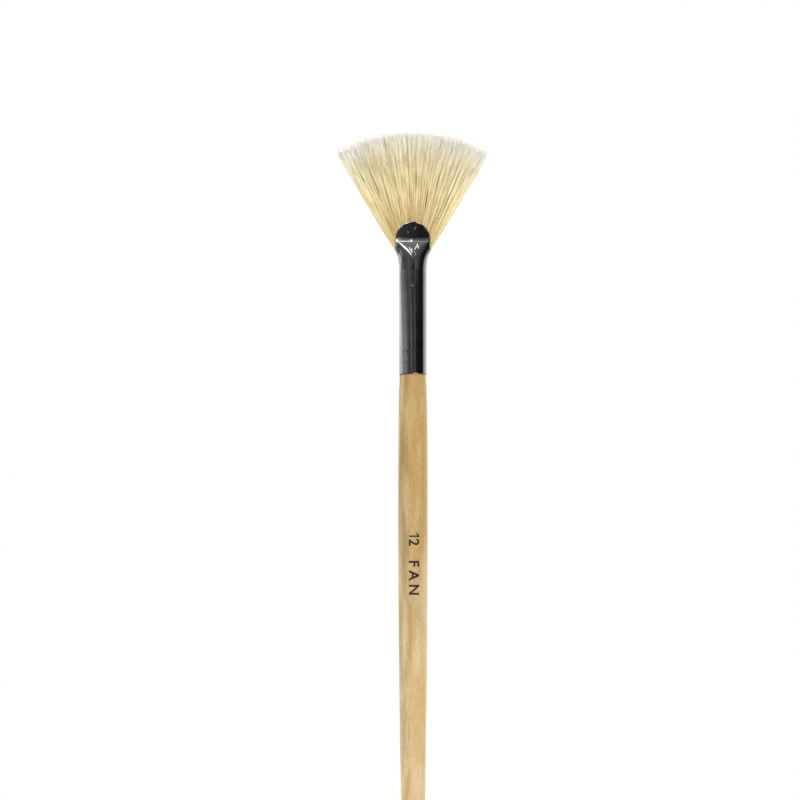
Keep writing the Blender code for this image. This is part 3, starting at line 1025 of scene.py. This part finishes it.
# Brightness of the studio that the gloss mirrors, by compass angle from the front, + to the
# right, at four heights: below, at and above eye level, and overhead
GROUND_LIGHT = (
    (-180, 0.25), (-162, 0.30), (-146, 1.8), (-112, 2.2), (-97, 0.5), (-80, 0.30), (-40, 0.30), (-15, 0.35),
    (0, 0.20), (60, 0.15), (88, 0.15), (104, 1.3), (128, 1.7), (146, 0.6), (180, 0.25),
)
EYE_LIGHT = (
    (-180, 0.4), (-166, 1.2), (-153, 1.8), (-129, 3.5), (-109, 4.4), (-104, 1.8), (-95, 1.75), (-64, 1.55),
    (-54, 1.05), (-45, 0.65), (-36, 0.30), (-28, 0.38), (-19, 0.55), (-11, 0.80), (-5, 0.55), (2, 0.18),
    (7, 0.16), (13, 0.62), (20, 0.50), (27, 0.08), (84, 0.04), (92, 0.15), (100, 1.4), (108, 2.8), (130, 2.5),
    (150, 1.9), (164, 1.3), (180, 0.4),
)
UPPER_LIGHT = (
    (-180, 0.5), (-153, 0.8), (-128, 1.3), (-112, 1.2), (-98, 1.05), (-86, 0.75), (-75, 0.50), (-60, 0.46),
    (-46, 0.58), (-30, 0.70), (-24, 0.60), (-18, 0.42), (-11, 0.38), (-4, 0.34), (-2, 0.18), (0, 0.08),
    (3, 0.04), (8, 0.06), (14, 0.50), (22, 0.70), (30, 0.60), (39, 0.45), (48, 0.25), (60, 0.08), (86, 0.05),
    (95, 0.3), (108, 1.3), (133, 1.8), (164, 1.2), (180, 0.5),
)
CEILING_LIGHT = (
    (-180, 1.0), (-125, 1.2), (-90, 1.2), (-84, 0.9), (-78, 0.8), (-72, 14.0), (-4.6, 14.0), (-3.4, 1.3),
    (8, 1.1), (30, 0.4), (60, 0.3), (90, 0.8), (110, 1.4), (180, 1.0),
)
BRIGHTEST = 14.0

# Where one height gives way to the next, in the vertical part of the direction, from -1 to 1. The
# overhead light starts higher on the left, up to KEY_EDGE in turns round the compass.
GROUND_TO_EYE = (-0.18, -0.08)
EYE_TO_UPPER = (0.105, 0.158)
UPPER_TO_KEY = (0.50, 0.66)
UPPER_TO_CEILING = (0.17, 0.90)
KEY_EDGE = (0.4875, 0.4905)

# How far the bands at eye level lean with height, most on the left
CLIMB_SCALE = 20.0
CLIMB_OFFSET = -1.7
LEAN_CENTRE = 0.144
LEAN_SCALE = -0.38
LEAN_OFFSET = 0.244
LEAN_START = (0.07, 0.15)

# Soft light on matt surfaces: its level, and how much it rises towards +X, +Y and +Z
SOFT_LIGHT = 1.085
SOFT_TILT = (0.22, -0.31, 0.15)

# Floor: radii of its rings and its height in millimetres
FLOOR_RADII = (0.5, 60.0, 400.0)
FLOOR_Z = -0.05
FLOOR_COLUMNS = 96

# Camera: place, target and width of the frame at the target in metres; sensor in millimetres
CAMERA_PLACE = (-0.00425, -0.84, 0.152)
CAMERA_TARGET = (-0.00425, 0.0, 0.217)
FRAME_WIDTH = 0.264
SENSOR_WIDTH = 36.0


def make_world():
    """White studio: the camera sees white, gloss mirrors pale sheets behind the brush, dark ones
    in front and one key light high on the left, and matt surfaces get soft even light."""
    world = bpy.data.worlds.new("studio")
    bpy.context.scene.world = world
    world.use_nodes = True
    tree = world.node_tree

    def maths(operation, *values):
        """A maths node's result; each value is a socket or a number."""
        node = tree.nodes.new("ShaderNodeMath")
        node.operation = operation
        for socket, value in zip(node.inputs, values):
            if isinstance(value, bpy.types.NodeSocket):
                tree.links.new(value, socket)
            else:
                socket.default_value = value
        return node.outputs[0]

    def smooth(value, start, end):
        """0 before start, 1 after end, and smooth between them."""
        node = tree.nodes.new("ShaderNodeMapRange")
        node.interpolation_type = "SMOOTHSTEP"
        tree.links.new(value, node.inputs["Value"])
        node.inputs["From Min"].default_value = start
        node.inputs["From Max"].default_value = end
        return node.outputs["Result"]

    def around(turn, stops):
        """Brightness read from a list of (compass angle, brightness)."""
        node = tree.nodes.new("ShaderNodeValToRGB")
        elements = node.color_ramp.elements
        for element, (degrees, brightness) in zip(elements, (stops[0], stops[-1])):
            element.position = degrees / 360.0 + 0.5
            element.color = (*[brightness / BRIGHTEST] * 3, 1.0)
        for degrees, brightness in stops[1:-1]:
            element = elements.new(degrees / 360.0 + 0.5)
            element.color = (*[brightness / BRIGHTEST] * 3, 1.0)
        tree.links.new(turn, node.inputs["Fac"])
        return maths("MULTIPLY", node.outputs["Color"], BRIGHTEST)

    def blend(low, high, share):
        """From low to high by a share."""
        return maths("MULTIPLY_ADD", maths("SUBTRACT", high, low), share, low)

    place = tree.nodes.new("ShaderNodeTexCoord")
    axes = tree.nodes.new("ShaderNodeSeparateXYZ")
    tree.links.new(place.outputs["Generated"], axes.inputs["Vector"])
    x, y, z = axes.outputs
    angle = maths("ARCTAN2", x, maths("MULTIPLY", y, -1.0))
    turn = maths("MULTIPLY_ADD", angle, 1.0 / math.tau, 0.5)
    climb = maths("MULTIPLY_ADD", z, CLIMB_SCALE, CLIMB_OFFSET)
    climb = maths("MINIMUM", maths("MAXIMUM", climb, 0.0), 1.0)
    lean = maths("SUBTRACT", maths("MULTIPLY", climb, climb), LEAN_CENTRE)
    reach = maths("MAXIMUM", maths("MULTIPLY_ADD", turn, LEAN_SCALE, LEAN_OFFSET), 0.0)
    lean = maths("MULTIPLY", maths("MULTIPLY", lean, reach), smooth(turn, *LEAN_START))
    ground = around(turn, GROUND_LIGHT)
    eye = around(maths("ADD", turn, lean), EYE_LIGHT)
    light = blend(ground, eye, smooth(z, *GROUND_TO_EYE))
    light = blend(light, around(turn, UPPER_LIGHT), smooth(z, *EYE_TO_UPPER))
    key_edge = smooth(turn, *KEY_EDGE)
    overhead = blend(smooth(z, *UPPER_TO_KEY), smooth(z, *UPPER_TO_CEILING), key_edge)
    light = blend(light, around(turn, CEILING_LIGHT), overhead)
    path = tree.nodes.new("ShaderNodeLightPath")
    soft = maths("MULTIPLY_ADD", x, SOFT_TILT[0], SOFT_LIGHT)
    soft = maths("MULTIPLY_ADD", y, SOFT_TILT[1], soft)
    soft = maths("MULTIPLY_ADD", z, SOFT_TILT[2], soft)
    light = blend(soft, light, path.outputs["Is Glossy Ray"])
    light = blend(light, 1.0, path.outputs["Is Camera Ray"])
    background = tree.nodes["Background"]
    background.inputs["Color"].default_value = (1.0, 1.0, 1.0, 1.0)
    tree.links.new(light, background.inputs["Strength"])


def make_floor():
    """A plain pale disc under the brush."""
    points = rings(np.array(FLOOR_RADII), np.full(len(FLOOR_RADII), FLOOR_Z), FLOOR_COLUMNS)
    faces = ring_faces(len(FLOOR_RADII), FLOOR_COLUMNS)
    material = plain_material("pale_floor", (0.9, 0.9, 0.9), (0.92, 0.92, 0.92), 0.8, 20.0)
    make_mesh("floor", points, faces, material)


def make_camera():
    """Camera low in front of the brush, looking slightly up at the fan, as in the photograph."""
    camera = bpy.data.objects.new("camera", bpy.data.cameras.new("camera"))
    bpy.context.scene.collection.objects.link(camera)
    camera.location = CAMERA_PLACE
    sight = Vector(CAMERA_TARGET) - camera.location
    camera.rotation_euler = sight.to_track_quat("-Z", "Y").to_euler()
    camera.data.sensor_width = SENSOR_WIDTH
    camera.data.lens = SENSOR_WIDTH * sight.length / FRAME_WIDTH
    camera.data.clip_start = 0.01
    bpy.context.scene.camera = camera


make_world()
make_floor()
make_camera()
bpy.context.scene.view_settings.view_transform = "Standard"

make_handle(wood_material())
make_size_mark(ink_material())
make_ferrule(metal_material())
make_bristles(bristle_material())
FILLINGS = {
    "handle_cement": plain_material("cement", (0.60, 0.50, 0.30), (0.75, 0.65, 0.42), 0.5, 900.0),
    "setting_resin": plain_material("resin", (0.45, 0.28, 0.08), (0.60, 0.40, 0.14), 0.25, 600.0),
}
for node, material in FILLINGS.items():
    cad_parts[node].data.materials.clear()
    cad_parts[node].data.materials.append(material)
